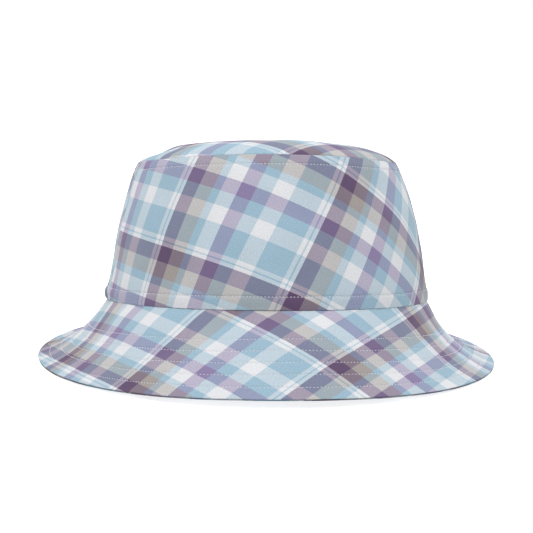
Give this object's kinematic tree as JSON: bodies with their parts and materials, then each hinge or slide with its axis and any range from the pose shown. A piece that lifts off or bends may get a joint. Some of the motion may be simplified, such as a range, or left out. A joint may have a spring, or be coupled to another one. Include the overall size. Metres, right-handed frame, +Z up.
{
  "type": "bucket hat",
  "caption": "Sewn cloth bucket hat: lined crown of front, back and tip panels, and a sloping brim with rows of topstitching.",
  "frame": {"origin": "middle of the brim's footprint, on the plane that the brim stands on", "axes": "+Z up; the front of the hat faces -Y; the hat is longest along Y, front to back"},
  "size_m": [0.254, 0.294, 0.12],
  "materials": {
    "plaid_cloth": "matt plain weave printed with a blue, white, lilac, plum and taupe plaid",
    "interlining": "matt off-white stiffener",
    "lining_cloth": "smooth pale blue-grey lining weave",
    "band_cloth": "soft pale twill tape",
    "thread": "off-white sewing thread",
    "label_cloth": "blank white satin label"
  },
  "bodies": {
    "root": {"crown_front_panel": "plaid_cloth", "crown_back_panel": "plaid_cloth", "crown_tip_panel": "plaid_cloth", "crown_front_interlining": "interlining", "crown_back_interlining": "interlining", "crown_tip_interlining": "interlining", "crown_front_lining": "lining_cloth", "crown_back_lining": "lining_cloth", "crown_tip_lining": "lining_cloth", "brim_top": "plaid_cloth", "brim_interlining": "interlining", "brim_underside": "plaid_cloth", "sweatband": "band_cloth", "care_label": "label_cloth", "brim_stitch_row_1": "thread", "brim_stitch_row_2": "thread", "brim_stitch_row_3": "thread", "brim_stitch_row_4": "thread", "brim_stitch_row_5": "thread", "crown_top_stitch_row": "thread", "crown_bottom_stitch_row": "thread"}
  },
  "joints": []
}
